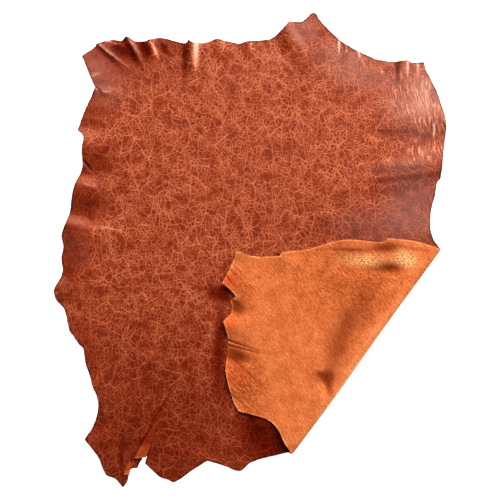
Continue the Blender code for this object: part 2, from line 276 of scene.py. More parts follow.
BODY_FOLDS = (
    Fold(-286, 403, -222, 348, 1.8, 32, -2),
    Fold(-247, 430, -202, 350, 4.5, 14, -1),
    Fold(-206, 424, -188, 370, 6, 22, 2),
    Fold(-118, 424, -114, 322, 12, 36, -2),
    Fold(-66, 424, -60, 372, 4, 26, 0),
    Fold(-4, 420, 2, 372, 3, 30, 0),
    Fold(62, 444, 124, 350, 7, 56, 3),
    Fold(192, 418, 190, 350, 4, 26, 0),
    Fold(303, 384, 305, 320, 8, 28, -3),
    Fold(370, 285, 366, 190, 2.5, 24, 2),
    Fold(392, 174, 100, 96, 8, 88, 3),
    Fold(396, 262, 190, 258, 5.5, 74, 2),
    Fold(-316, 318, -240, 312, 5, 30, 4),
    Fold(-346, 218, -250, 206, 6, 70, 6),
    Fold(-338, 172, -306, 144, 5, 18, 0),
    Fold(-358, 120, -256, 108, 9, 76, 9),
    Fold(-370, 40, -246, 8, 8, 84, 9),
    Fold(-394, -78, -316, -84, 4, 56, 4),
    Fold(-316, -268, -240, -262, 4, 44, -6),
    Fold(-330, -380, -262, -372, 3, 50, 0),
    Fold(-84, -424, -70, -352, 4, 32, 0),
    Fold(-20, -444, -12, -380, 4, 44, 0),
)

# Folds of the turned corner, added to the way it comes down from the fold. A negative height is a dent.
CORNER_FOLDS = (
    Fold(-60, -70, 30, -60, 8, 120, 0),
    Fold(-62, -142, 36, -170, 11, 76, 6),
    Fold(-52, -262, 46, -250, 7, 110, 0),
    Fold(-10, -330, 60, -300, 5, 90, 0),
    Fold(48, -372, 96, -330, 4, 80, 0),
    Fold(-26, 2, 24, -26, 6, 60, 0),
    Fold(64, 2, 84, -70, 6, 70, 0),
    Fold(196, 26, 196, -30, 5, 90, 0),
    Fold(300, 24, 262, -70, 8, 80, -6),
)

# The tears, in millimetres from the closed end to the mouth. Side is 1 where the panel on the left of
# that direction is the one that rises, and -1 where the right one does. Tuck is how far it covers the
# other, reach is how wide a strip of it moves, and turned is the length of margin that curls back, with
# its end cut at a slant.
Tear = namedtuple("Tear", "x0 y0 x1 y1 side tuck reach turned slant")

TEARS = (
    Tear(-174, -312, -217, -420, 1, 12, 80, 26, 0.6),
    Tear(-239, -400, -244, -444, -1, 2, 24, 16, -0.2),
)

# Fine creases that the solid leaves out, as narrow folds, and troughs where the height is below 0. Pale
# is how much painted highlight their crests get, and below 0 how much painted shade their troughs get.
Crease = namedtuple("Crease", "x0 y0 x1 y1 height width lean pale")

GRAIN_CREASES = (
    Crease(-292, 406, -218, 342, 2.2, 6, -1.5, 0.4),
    Crease(-238, 414, -198, 342, 1.0, 5, 0.5, 0.7),
    Crease(-204, 424, -176, 370, 1.2, 9, 0, 0.4),
    Crease(-107, 420, -109, 336, 1.8, 18, 0, 1.6),
    Crease(178, 424, 178, 378, 1.2, 7, 0, 1.6),
    Crease(192, 412, 192, 382, 1.0, 6, 0, 1.0),
    Crease(216, 402, 221, 372, 1.2, 8, 0, 1.2),
    Crease(315, 376, 315, 330, 0.8, 8, 0, 0.9),
    Crease(334, 376, 336, 340, 0.8, 9, 0, 0.8),
    Crease(366, 238, 366, 212, 1.2, 5, 0, 1.2),
    Crease(2, 420, 2, 380, 0.7, 6, 0, 0.6),
    Crease(-335, 172, -308, 147, 0.2, 3, 0, 0.6),
    Crease(-178, -316, -150, -272, -0.5, 5, 0, -0.9),
    Crease(-333, 178, -305, 148, 0, 5, 0, -2.2),
    Crease(-338, 172, -306, 144, -2.6, 16, 0, 0),
    Crease(-305, 318, -282, 296, -1.2, 6, 0, -1.4),
)

FLESH_CREASES = (
    Crease(-46, -52, -24, -84, -1.2, 6, 0, -1.0),
    Crease(-36, -42, -14, -68, -0.9, 5, 0, -0.8),
    Crease(-28, -36, -6, -58, -0.7, 5, 0, -0.6),
    Crease(-36, -100, -4, -124, -1.6, 10, 0, -0.6),
    Crease(-46, -179, 44, -211, -1.6, 6, 0, -1.7),
    Crease(-30, -193, 54, -215, -1.4, 6, 0, -1.5),
    Crease(180, 0, 262, -3, -0.9, 9, 0, -0.3),
    Crease(-4, -246, 42, -290, -1.0, 7, 0, -0.5),
    Crease(-24, -300, 10, -330, -0.9, 7, 0, -0.5),
)

# Soft patches of one finish, or of painted light and shade: middle, length and width in millimetres, the
# turn of its length from +X in degrees, and how much of it there is.
Patch = namedtuple("Patch", "x y length width turn amount")

# Dents of the turned corner, with their depth as the amount in millimetres.
CORNER_DENTS = (
    Patch(150, -272, 70, 30, -60, 3),
    Patch(160, -256, 90, 64, 62, 4),
    Patch(276, -40, 90, 34, 0, 4),
    Patch(280, 2, 70, 36, 0, 3),
    Patch(200, -130, 320, 110, 62, 3),
    Patch(-16, -208, 76, 50, -10, 4),
)

# Where each side of the sheet is darker, or paler where the amount is below 0: partly deeper or paler dye,
# and partly painted shadows beside and under the turned corner, painted shade in dents and troughs, and
# painted highlights on fold crests and along the turned fold's edge.
GRAIN_TONE_AND_PAINTED_LIGHT = (
    Patch(-170, 404, 330, 90, 0, 0.45),
    Patch(-200, 360, 220, 90, 0, 0.25),
    Patch(66, 418, 70, 60, -50, 0.3),
    Patch(134, 462, 50, 60, 0, 0.5),
    Patch(330, 90, 150, 190, 0, 0.45),
    Patch(180, 36, 380, 80, 0, 0.35),
    # Darker towards the bottom.
    Patch(-200, -400, 900, 760, 0, 0.62),
    # Painted shadow on the belly below the turned corner's foot.
    Patch(36, -380, 180, 160, -40, 0.9),
    Patch(20, -354, 120, 60, -22, 0.8),
    Patch(62, -392, 100, 60, -62, 0.8),
    # Painted shadow line beside the first tear's curled margin.
    Patch(-206, -370, 120, 9, 58, 1.2),
    Patch(-368, -10, 90, 360, 0, 0.4),
    Patch(-208, -248, 90, 30, 85, 0.35),
    Patch(-257, -420, 90, 14, 88, 0.5),
    Patch(-340, 60, 60, 26, -16, -0.35),
    Patch(-322, 276, 60, 20, 10, 0.35),
    Patch(-270, -278, 100, 34, 20, -0.2),
    Patch(-310, 370, 130, 110, 0, -0.18),
    Patch(350, 310, 130, 220, 0, -0.38),
    Patch(115, 375, 140, 120, 0, 0.3),
    Patch(96, 440, 90, 70, 0, 0.2),
    Patch(350, 200, 130, 60, 0, -0.3),
    Patch(200, 402, 32, 16, -30, 0.9),
    Patch(238, 386, 36, 12, -25, 0.9),
    Patch(330, 166, 130, 16, 4, 0.5),
    Patch(300, 143, 230, 22, 6, 1.1),
    Patch(376, 150, 60, 34, 0, 0.5),
    Patch(276, 237, 160, 22, 2, 0.55),
    Patch(300, 162, 200, 36, 4, 0.8),
    Patch(292, 221, 70, 14, 0, 0.4),
    Patch(340, 228, 90, 18, -8, 0.6),
    Patch(-210, 402, 70, 30, -62, 1.1),
    Patch(-262, 402, 90, 44, -30, 0.9),
    Patch(-284, 387, 110, 12, -40, 1.2),
    Patch(-236, 394, 90, 22, -61, 1.2),
    Patch(-247, 424, 24, 18, 0, 1.2),
    Patch(-190, 399, 62, 17, -64, -0.9),
    Patch(-58, -86, 110, 56, 0, 0.5),
    Patch(56, -10, 14, 9, 40, 1.2),
    Patch(-172, 404, 60, 22, -62, 1.0),
    Patch(-304, 330, 50, 30, 0, 0.5),
    Patch(-326, 131, 64, 12, -4, -0.45),
    Patch(-131, 372, 110, 20, 88, 0.8),
    Patch(-312, 350, 60, 14, 20, -0.36),
    Patch(-284, 315, 50, 9, -12, -0.7),
    Patch(-276, 415, 70, 10, -14, -1.3),
    Patch(250, 222, 150, 11, 4, -0.2),
    Patch(240, 50, 260, 140, 0, 0.3),
    Patch(-262, 396, 60, 40, -40, 0.4),
    Patch(294, 352, 64, 15, 92, 1.0),
    Patch(372, 306, 50, 24, -60, 0.6),
    # Painted soft shadow along the turned corner's left rim.
    Patch(-46, -34, 100, 36, 66, 0.5),
    Patch(-60, -86, 90, 44, -24, 0.9),
    Patch(-56, -118, 70, 40, 90, 0.4),
    Patch(-62, -190, 200, 44, 88, 0.8),
    Patch(-60, -272, 150, 46, -78, 0.4),
    Patch(-306, 180, 150, 90, -10, 0.55),
    Patch(-324, 170, 46, 10, -52, 1.1),
    Patch(-322, 96, 150, 100, 0, 0.65),
    Patch(-290, 44, 130, 20, -6, -0.35),
)

FLESH_TONE_AND_PAINTED_LIGHT = (
    Patch(-50, -170, 60, 60, 0, 0.25),
    Patch(204, -140, 370, 120, 62, 0.36),
    # Painted shade in the triangular dent.
    Patch(152, -250, 66, 40, 0, 0.6),
    Patch(160, -256, 40, 46, 0, 0.55),
    Patch(140, -247, 44, 22, -12, 0.5),
    Patch(150, -264, 54, 24, -56, 0.45),
    Patch(160, -272, 60, 24, -80, 0.55),
    Patch(157, -284, 44, 18, -80, 0.6),
    Patch(172, -206, 130, 62, 72, 0.5),
    Patch(190, -150, 120, 60, 62, 0.4),
    Patch(230, -104, 110, 70, -60, 0.34),
    Patch(190, -140, 130, 90, 70, 0.06),
    # Painted shade in dents along the top of the turned corner.
    Patch(268, 4, 90, 38, 0, 1.0),
    Patch(330, 2, 110, 12, -8, 0.6),
    Patch(274, -36, 100, 30, 0, 1.0),
    Patch(8, -12, 56, 8, -16, -0.7),
    Patch(206, 0, 120, 18, 0, 0.4),
    Patch(160, -60, 130, 70, -30, 0.2),
    Patch(160, -26, 36, 30, 0, 0.3),
    Patch(-38, -206, 92, 50, -24, 1.2),
    Patch(-8, -214, 80, 34, -16, 0.6),
    Patch(-24, -108, 50, 34, -40, 0.7),
    Patch(-8, -30, 50, 40, -50, 0.2),
    Patch(-26, -120, 50, 34, -30, 0.9),
    Patch(-40, -50, 50, 50, 0, 0.2),
    # Painted highlights along the turned fold's edge.
    Patch(224, -194, 700, 46, 54, -0.35),
    Patch(231, -205, 900, 9, 54, -0.5),
    Patch(180, 6, 300, 60, 3, 0.2),
    Patch(-10, -280, 120, 200, 20, 0.06),
)

# Where the grain is worn smooth, and where the flesh side is pressed smooth, with painted gold glints, or
# redder below 0.
GRAIN_WORN = (
    Patch(-290, 380, 220, 150, -20, 1.0),
    Patch(350, 300, 120, 200, 0, 0.5),
    Patch(110, 440, 100, 80, 0, 0.9),
    Patch(340, 200, 110, 70, 0, 0.5),
    Patch(340, 80, 160, 150, 0, 0.4),
    Patch(200, 370, 160, 90, -30, 0.4),
    Patch(-350, 60, 130, 500, 4, 0.9),
    Patch(-318, 176, 90, 110, 0, 0.6),
    Patch(-320, 310, 150, 220, 0, 1.0),
    Patch(-330, -200, 110, 240, 10, 0.6),
)

FLESH_WORN = (
    Patch(312, -18, 76, 54, -20, 1.2),
    Patch(228, -20, 150, 42, 0, 0.8),
    Patch(-40, -62, 70, 66, 0, -0.7),
    Patch(-46, -150, 70, 70, 0, -0.7),
    Patch(-30, -240, 90, 220, 10, -0.3),
)

# Where a pale, greyish veil is painted over the glaze: a painted sheen of soft reflected light.
GRAIN_PAINTED_SHEEN = (
    Patch(350, 310, 260, 300, 0, 0.26),
    Patch(330, 90, 200, 260, 0, 0.2),
    Patch(200, 370, 220, 130, -30, 0.2),
    Patch(110, 440, 100, 80, 0, 0.16),
    Patch(240, 50, 260, 140, 0, 0.1),
    Patch(-320, 366, 130, 110, 0, 0.12),
    Patch(-340, 0, 90, 100, 0, 0.03),
    Patch(-290, 330, 170, 130, 0, 0.1),
)

# Where the grain has dried into small upright crinkles, and the flesh side into slanting ones. Both are
# bumps, and also painted: highlight and shade streaks on the grain, shade in the flesh side's wrinkles.
GRAIN_CRINKLED = (
    Patch(372, 280, 150, 260, 0, 1.0),
    Patch(310, 300, 160, 220, 0, 0.6),
    Patch(340, 200, 160, 90, 0, 0.7),
    Patch(330, 90, 160, 140, 0, 0.4),
    Patch(-300, 380, 160, 100, -20, 0.25),
    Patch(110, 446, 90, 60, 0, 0.4),
    Patch(250, 360, 200, 60, -15, 0.5),
    Patch(-190, 410, 120, 40, 0, 0.4),
)

FLESH_CRINKLED = (
    Patch(-10, -270, 130, 190, 20, 1.3),
    Patch(-20, -90, 110, 150, 0, 0.7),
    Patch(160, -100, 300, 110, 20, 0.4),
    Patch(236, -130, 260, 120, 54, 0.4),
    Patch(190, -50, 460, 190, 0, 0.65),
)

# A net of crackle lines in the glaze: its cells' size and its lines' half width in mm, how pale the lines
# are, the size in mm of the patches they come in, and how its cells are turned and drawn out. The lines
# are drawn about twice as wide as real ones, which are too fine to show.
Crackle = namedtuple("Crackle", "cell width pale patch turn long")

BROAD_CRACKLE = (
    Crackle(34, 1.00, 0.90, 50, 10, 2.4),
    Crackle(24, 1.00, 0.90, 40, -20, 1.4),
    Crackle(14, 1.00, 0.90, 32, 40, 1.2),
)

FINE_CRACKLE = (
    Crackle(9, 0.90, 0.65, 30, 0, 1.0),
    Crackle(6.2, 0.85, 0.75, 22, 0, 1.0),
)

# The flesh side's dried wrinkles, drawn as slanting nets and darkened with painted shade.
SUEDE_WRINKLES = (
    Crackle(9, 1.00, 0.80, 16, 58, 3.0),
    Crackle(6, 0.80, 0.60, 12, 48, 2.4),
)

# The dyes' colours from the deepest tone to the palest, and the tint of the places past the deepest, which
# are mostly painted shadows.
GRAIN_DYE = {0.0: "#6a1b07", 0.25: "#80290f", 0.55: "#a54726", 1.0: "#e2825a"}
SUEDE_DYE = {0.0: "#a64a1b", 0.4: "#c96431", 0.7: "#d77540", 1.0: "#f2945c"}
PAINTED_SHADOW_TINT = "#bae8f0"

# The floor, the camera and the width that it sees on the floor.
FLOOR_REACH = 6.0
FLOOR_GAP = 0.1 * MM
LENS = 70.0
SENSOR_WIDTH = 36.0
VIEW_WIDTH = 1.0

# The lights: a strong one low at the upper right, and a weak one from the lower left.
SoftBox = namedtuple("SoftBox", "name place size watts")

SOFT_BOXES = (
    SoftBox("key", (1.36, 2.72, 2.3), 2.6, 342.0),
    SoftBox("fill", (-2.6, -3.4, 1.9), 3.0, 80.0),
)

# The walls glow, up to a height of the direction that is looked in, and the ceiling hardly does.
WALL_TOP = 0.45
CEILING = 0.8
WALL_GLOW = 0.9
TOP_GLOW = 0.05

FOLD_ALONG = (FOLD_FOOT - FOLD_TOP).normalized()
FOLD_OUT = Vector((-FOLD_ALONG.y, FOLD_ALONG.x, 0))
FOLD_START = FOLD_TOP - FOLD_OUT * FOLD_RADIUS
HALF_TURN = math.pi * FOLD_RADIUS

# The upper side of the turned corner where it rests on the hide, and the lowest that a dent takes it.
REST_HEIGHT = 2 * THICKNESS + LAYER_GAP
LOWEST = 2.2 * THICKNESS


def ease(share):
    """A smooth step from 0 to 1 as share goes from 0 to 1."""
    share = min(max(share, 0.0), 1.0)
    return share * share * (3 - 2 * share)


def fade(share):
    """A smooth hump, 1 at 0 and nothing from 1 outwards on both sides."""
    if abs(share) >= 1:
        return 0.0
    return math.cos(0.5 * math.pi * share) ** 2


def smooth_rim(rows, step):
    """Points a step apart on a closed curve through the rows, with a corner at each sharp row."""
    points = []
    for index, row in enumerate(rows):
        after = rows[(index + 1) % len(rows)]
        start = Vector((row.x, row.y, 0)) * MM
        end = Vector((after.x, after.y, 0)) * MM
        before = 2 * start - end
        beyond = 2 * end - start
        if not row.sharp:
            before = Vector((rows[index - 1].x, rows[index - 1].y, 0)) * MM
        if not after.sharp:
            following = rows[(index + 2) % len(rows)]
            beyond = Vector((following.x, following.y, 0)) * MM
        span = (end - start).length
        leave = (end - before) * span / (span + (start - before).length)
        arrive = (beyond - start) * span / (span + (beyond - end).length)
        count = max(1, round(span / step))
        for number in range(count):
            t = number / count
            place = start * (2 * t**3 - 3 * t**2 + 1) + end * (3 * t**2 - 2 * t**3)
            points.append(place + leave * (t**3 - 2 * t**2 + t) + arrive * (t**3 - t**2))
    return points


def unfold(row):
    """The flat place of a rim point of the turned corner."""
    place = Vector((row.x, row.y, 0)) * MM
    inward = (FOLD_START - place).dot(FOLD_OUT)
    flat = place + FOLD_OUT * (2 * inward + HALF_TURN)
    return Rim(flat.x / MM, flat.y / MM, row.sharp)


def flat_outline(step):
    """The hide's outline as it was before the corner was turned over."""
    corner = tuple(unfold(row) for row in TURNED_CORNER)
    return smooth_rim(NECK + RIGHT_FLANK + corner + BELLY + LEG + LEFT_FLANK, step)


def nicked(points):
    """The outline with the small unevenness of a cut by hand."""
    cut_points = []
    for index, point in enumerate(points):
        along = (points[(index + 1) % len(points)] - points[index - 1]).normalized()
        depth = NICK_DEPTH * noise.noise(point / NICK_LENGTH)
        cut_points.append(point + Vector((-along.y, along.x, 0)) * depth)
    return cut_points


def tree_of(points):
    """A search tree of places."""
    tree = kdtree.KDTree(len(points))
    for index, point in enumerate(points):
        tree.insert(point, index)
    tree.balance()
    return tree


def reach_along(face, axis):
    """The lowest and highest place of a face along an axis."""
    places = [vert.co.dot(axis) for vert in face.verts]
    return min(places), max(places)


def cut(bm, faces, point, normal):
    """Cut the faces that a line crosses, and return what they become."""
    edges = dict.fromkeys(edge for face in faces for edge in face.edges)
    verts = dict.fromkeys(vert for face in faces for vert in face.verts)
    geometry = [*verts, *edges, *faces]
    result = bmesh.ops.bisect_plane(bm, geom=geometry, dist=SNAP, plane_co=point, plane_no=normal)
    return [item for item in result["geom"] if isinstance(item, bmesh.types.BMFace)]


def rule(bm, axis, spacing):
    """Cut the sheet along parallel lines that stand a spacing apart along the axis."""
    todo = [(face, *reach_along(face, axis)) for face in bm.faces]
    highest = max(high for face, low, high in todo)
    line = math.ceil(min(low for face, low, high in todo) / spacing) * spacing
    while line < highest:
        todo = [row for row in todo if row[2] > line + SNAP]
        crossed = [face for face, low, high in todo if low < line - SNAP]
        made = cut(bm, crossed, axis * line, axis)
        todo = [row for row in todo if row[1] >= line - SNAP]
        todo += [(face, *reach_along(face, axis)) for face in made]
        line += spacing


def faces_on_line(bm, point, axis, start, along, length):
    """Faces that a line crosses within a length of its start."""
    found = []
    for face in bm.faces:
        low, high = reach_along(face, axis)
        line = point.dot(axis)
        if low >= line - SNAP or high <= line + SNAP:
            continue
        near, far = reach_along(face, along)
        if far > start.dot(along) - length and near < start.dot(along) + length:
            found.append(face)
    return found


def fold_frame(fold):
    """A fold's start, its direction, its left side and its length."""
    start = Vector((fold.x0, fold.y0, 0)) * MM
    run = Vector((fold.x1, fold.y1, 0)) * MM - start
    along = run.normalized()
    return start, along, Vector((-along.y, along.x, 0)), run.length


def unfolded(crease):
    """A crease of the turned corner, in its flat place."""
    start = unfold(Rim(crease.x0, crease.y0, SHARP))
    end = unfold(Rim(crease.x1, crease.y1, SHARP))
    return crease._replace(x0=start.x, y0=start.y, x1=end.x, y1=end.y)


def cut_creases(bm, creases):
    """Rule lines along the crests and feet of the creases, which a cell is too wide for."""
    for fold in creases:
        start, along, left, length = fold_frame(fold)
        for share in (-1.0, -0.5, 0.0, 0.5, 1.0):
            point = start + left * share * 0.5 * fold.width * MM
            cut(bm, faces_on_line(bm, point, left, start, along, length), point, left)


def cut_turned_fold(bm):
    """Rule lines along the fold of the turned corner, so that it bends round."""
    length = (FOLD_FOOT - FOLD_TOP).length
    for step in range(FOLD_STEPS + 1):
        point = FOLD_START + FOLD_OUT * HALF_TURN * step / FOLD_STEPS
        crossed = faces_on_line(bm, point, FOLD_OUT, FOLD_START, FOLD_ALONG, 2 * length)
        cut(bm, crossed, point, FOLD_OUT)


def split_tear(bm, tear):
    """Part the sheet along a tear."""
    start, along, left, length = fold_frame(tear)
    middle = start + along * 0.5 * length
    end_cut = faces_on_line(bm, start, along, start, left, TEAR_END_CUT)
    cut(bm, end_cut, start, along)
    cut(bm, faces_on_line(bm, start, left, middle, along, 0.5 * length), start, left)
    seam = []
    for edge in bm.edges:
        offsets = [abs((vert.co - start).dot(left)) for vert in edge.verts]
        onward = [(vert.co - start).dot(along) for vert in edge.verts]
        if max(offsets) < ON_LINE and min(onward) > -SNAP and len(edge.link_faces) == 2:
            seam.append(edge)
    bmesh.ops.split_edges(bm, edges=seam)


def framed(folds):
    """The folds with their frames worked out once, as the sheet has thousands of places."""
    return [(fold, *fold_frame(fold)) for fold in folds]


def swell_of(fold, start, along, left, length, place):
    """How full a fold is at a place, from 0 to 1."""
    offset = place - start
    across = offset.dot(left) / (0.5 * fold.width * MM)
    if abs(across) >= 1:
        return 0.0
    return fade(across) * fade(offset.dot(along) / length)


def body_push(place):
    """How far the folds of the body lift a place of the sheet and push it sideways."""
    push = Vector()
    for fold, start, along, left, length in BODY_FRAMES:
        swell = swell_of(fold, start, along, left, length, place)
        push += (left * fold.lean + Vector((0, 0, fold.height))) * MM * swell
    return push


def calm(place):
    """Less than 1 beside a tear, where the layers need level ground."""
    share = 1.0
    for _, start, along, _, length in TEAR_FRAMES:
        onward = min(max((place - start).dot(along), 0.0), length)
        distance = (place - start - along * onward).length
        share = min(share, ease((distance - LEVEL_NEAR_TEAR) / (FOLDED_FROM_TEAR - LEVEL_NEAR_TEAR)))
    return share


def tear_push(place, middle):
    """How far the tears move a place, given the middle of the faces around it."""
    push = Vector()
    for tear, start, along, left, length in TEAR_FRAMES:
        away = left * tear.side
        onward = (place - start).dot(along)
        distance = max((place - start).dot(away), 0.0)
        if onward <= 0 or (middle - start).dot(away) <= 0:
            continue
        near = fade(distance / (tear.reach * MM))
        opening = TEAR_GAP * ease(onward / TEAR_START)
        tuck = tear.tuck * MM * ease((onward - TEAR_START) / (length - TEAR_START))
        push += away * (opening - tuck) * near
        push.z += TEAR_LIFT * ease(onward / TEAR_START) * near
    return push


def sheet_swell(place):
    """The low unevenness of a sheet that has never been pressed."""
    return SWELL_HEIGHT * (0.5 + 0.5 * noise.noise(place / SWELL_LENGTH))


def body_height(place, rim):
    """The folds and rim waves at a place of the body."""
    away = rim.find(place)[2]
    ripple = max(0.0, noise.noise(place / WAVE_LENGTH) + WAVE_SHARE)
    wave = WAVE_HEIGHT * ripple * fade(away / WAVE_REACH)
    lift = Vector((0, 0, wave + sheet_swell(place) * ease(away / WAVE_REACH)))
    return (body_push(place) + lift) * calm(place)


def corner_height(place, inward):
    """The height of the turned corner's upper side above the layer that it lies on."""
    lift = (2 * FOLD_RADIUS - REST_HEIGHT) * (1 - ease(inward / SETTLE))
    for fold, start, along, left, length in CORNER_FRAMES:
        swell = swell_of(fold, start, along, left, length, place)
        lift += fold.height * MM * swell * ease(inward / (0.5 * SETTLE))
    lift -= patched(CORNER_DENTS, place) * MM
    lift = REST_HEIGHT + max(0.0, lift)
    for fold, start, along, left, length in FLESH_FRAMES:
        lift += fold.height * MM * swell_of(fold, start, along, left, length, place)
    return max(lift, LOWEST)


def drape(flat, rim):
    """Where a flat place of the sheet comes to lie."""
    beyond = (flat - FOLD_START).dot(FOLD_OUT)
    inward = beyond - HALF_TURN
    on_fold = flat - FOLD_OUT * beyond
    down_fold = (on_fold - FOLD_START).dot(FOLD_ALONG) / (FOLD_FOOT - FOLD_TOP).length
    bow = FOLD_OUT * FOLD_BOW * fade((down_fold - BOW_MIDDLE) / BOW_SPAN)
    bow *= fade(max(-beyond, inward, 0.0) / BOW_REACH)
    if beyond <= 0:
        return flat + bow + body_height(flat, rim)
    if inward < 0:
        turn = beyond / FOLD_RADIUS
        out = FOLD_OUT * FOLD_RADIUS * math.sin(turn)
        return on_fold + bow + out + Vector((0, 0, FOLD_RADIUS * (1 - math.cos(turn))))
    place = on_fold - FOLD_OUT * inward
    return place + bow + Vector((0, 0, corner_height(place, inward)))


def curl(length):
    """How far out and up a margin reaches after a length of it has curled back."""
    turn = min(length / CURL_RADIUS, CURL_TURN)
    straight = length - turn * CURL_RADIUS
    out = CURL_RADIUS * math.sin(turn) + straight * math.cos(turn)
    return out, CURL_RADIUS * (1 - math.cos(turn)) + straight * math.sin(turn)


def rising_edges(bm, flat_layer, start, along, left, away):
    """The rim edges along a tear on the side that rises, from where its margin starts to curl."""
    found = []
    for edge in bm.edges:
        if len(edge.link_faces) != 1:
            continue
        flats = [vert[flat_layer] - start for vert in edge.verts]
        on_line = all(abs(flat.dot(left)) < ON_LINE for flat in flats)
        panel = sum((vert[flat_layer] - start for vert in edge.link_faces[0].verts), Vector())
        onward = [flat.dot(along) for flat in flats]
        if on_line and panel.dot(away) > 0 and max(onward) > TEAR_START:
            found.append(edge)
    return found


def turn_margins(bm):
    """Extrude the rising side of each tear into a margin that curls back onto the panel."""
    root_layer = bm.verts.layers.float_vector.new("root")
    flat_layer = bm.verts.layers.float_vector["flat"]
    shade_layer = bm.verts.layers.float["shade"]
    worn_layer = bm.verts.layers.float["worn"]
    for tear, start, along, left, length in TEAR_FRAMES:
        away = left * tear.side
        edges = rising_edges(bm, flat_layer, start, along, left, away)
        for vert in {vert for edge in edges for vert in edge.verts}:
            vert[root_layer] = vert.co
        for step in range(1, CURL_STEPS + 1):
            result = bmesh.ops.extrude_edge_only(bm, edges=edges)["geom"]
            edges = [item for item in result if isinstance(item, bmesh.types.BMEdge)]
            for vert in (item for item in result if isinstance(item, bmesh.types.BMVert)):
                onward = (vert[flat_layer] - start).dot(along)
                share = max(0.0, (onward - TEAR_START) / (length - TEAR_START))
                full = tear.turned * MM * math.sin(0.5 * math.pi * share)
                out, up = curl(full * step / CURL_STEPS)
                back = max(-out, 0.0) * tear.slant
                vert.co = vert[root_layer] - away * out - along * back + Vector((0, 0, up))
                vert[flat_layer] = vert[flat_layer] - away * full / CURL_STEPS
                # Painted shade of the curl, lighter near the mouth, and a redder tone.
                inside = ease((length - onward) / TEAR_LIGHT - 1)
                vert[shade_layer] = TEAR_SHADE * (MOUTH_SHADE + (1 - MOUTH_SHADE) * inside)
                vert[worn_layer] = TEAR_RED * (MOUTH_RED + (1 - MOUTH_RED) * inside)
    bmesh.ops.remove_doubles(bm, verts=bm.verts, dist=SNAP)


def patched(patches, place):
    """How much of a finish the patches give a place."""
    amount = 0.0
    for patch in patches:
        offset = place - Vector((patch.x, patch.y, 0)) * MM
        turn = math.radians(patch.turn)
        across = offset.x * math.cos(turn) + offset.y * math.sin(turn)
        down = offset.y * math.cos(turn) - offset.x * math.sin(turn)
        reach = math.hypot(across / (0.5 * patch.length * MM), down / (0.5 * patch.width * MM))
        amount += patch.amount * fade(reach)
    return amount


def turned(flat):
    """Whether a flat place of the sheet is on the turned corner, where the flesh side shows."""
    return (flat - FOLD_START).dot(FOLD_OUT) > 0.5 * HALF_TURN


def painted_crease_light(frames, place):
    """Painted highlight on the creases' crests at a place, less painted shade in their troughs."""
    return sum(frame[0].pale * swell_of(*frame, place) for frame in frames)


def cut_sheet():
    """The flat hide, ruled into cells, along its creases and its turned fold, and torn."""
    bm = bmesh.new()
    bm.faces.new([bm.verts.new(point) for point in reversed(nicked(flat_outline(RIM_STEP)))])
    for axis in (Vector((1, 0, 0)), Vector((0, 1, 0))):
        rule(bm, axis, CELL)
    cut_creases(bm, GRAIN_CREASES + tuple(unfolded(crease) for crease in FLESH_CREASES))
    bmesh.ops.remove_doubles(bm, verts=bm.verts, dist=MERGE)
    bm.normal_update()
    overturned = [face for face in bm.faces if face.normal.z < 0]
    bmesh.ops.delete(bm, geom=overturned, context="FACES")
    cut_turned_fold(bm)
    for tear in TEARS:
        split_tear(bm, tear)
    return bm


def lay_down(bm):
    """Move the sheet to where it lies, keeping each point's flat place and distance from the rim."""
    rim = tree_of(flat_outline(RIM_SAMPLE))
    flat_layer = bm.verts.layers.float_vector.new("flat")
    rim_layer = bm.verts.layers.float.new("rim")
    moves = {}
    for vert in bm.verts:
        vert[flat_layer] = vert.co
        vert[rim_layer] = min(rim.find(vert.co)[2], RIM_REACH)
        middle = sum((face.calc_center_median() for face in vert.link_faces), Vector())
        middle /= len(vert.link_faces)
        moves[vert] = drape(vert.co, rim) + tear_push(vert.co, middle)
    for vert, place in moves.items():
        vert.co = place


def paint(bm):
    """Give each point its amount of each finish and of painted light and shade, on the side seen from
    above.
    """
    flat_layer = bm.verts.layers.float_vector["flat"]
    shade_layer = bm.verts.layers.float.new("shade")
    worn_layer = bm.verts.layers.float.new("worn")
    crinkled_layer = bm.verts.layers.float.new("crinkled")
    painted_sheen_layer = bm.verts.layers.float.new("painted_sheen")
    for vert in bm.verts:
        level = vert.co * Vector((1, 1, 0))
        vert[painted_sheen_layer] = patched(GRAIN_PAINTED_SHEEN, level)
        if turned(vert[flat_layer]):
            vert[shade_layer] = patched(FLESH_TONE_AND_PAINTED_LIGHT, level) - painted_crease_light(FLESH_FRAMES, level)
            vert[worn_layer] = patched(FLESH_WORN, level)
            vert[crinkled_layer] = patched(FLESH_CRINKLED, level)
        else:
            vert[shade_layer] = patched(GRAIN_TONE_AND_PAINTED_LIGHT, level) - painted_crease_light(GRAIN_FRAMES, vert[flat_layer])
            vert[worn_layer] = patched(GRAIN_WORN, level)
            vert[crinkled_layer] = patched(GRAIN_CRINKLED, level)


def make_sheet():
    """The whole hide as one sheet, with its flat places as a UV map in metres."""
    bm = cut_sheet()
    lay_down(bm)
    paint(bm)
    turn_margins(bm)
    bmesh.ops.recalc_face_normals(bm, faces=bm.faces)
    flat_layer = bm.verts.layers.float_vector["flat"]
    map_layer = bm.loops.layers.uv.new("flat")
    for face in bm.faces:
        for loop in face.loops:
            loop[map_layer].uv = loop.vert[flat_layer].xy
    for name in ("flat", "root"):
        bm.verts.layers.float_vector.remove(bm.verts.layers.float_vector[name])
    mesh = bpy.data.meshes.new("leather_hide")
    bm.to_mesh(mesh)
    bm.free()
    mesh.shade_smooth()
    hide = bpy.data.objects.new("leather_hide", mesh)
    bpy.context.scene.collection.objects.link(hide)
    return hide


def linear(colour):
    """An sRGB hex colour as linear red, green and blue."""
    parts = [int(colour[index : index + 2], 16) / 255 for index in (1, 3, 5)]
    return tuple(part / 12.92 if part <= 0.04045 else ((part + 0.055) / 1.055) ** 2.4 for part in parts)


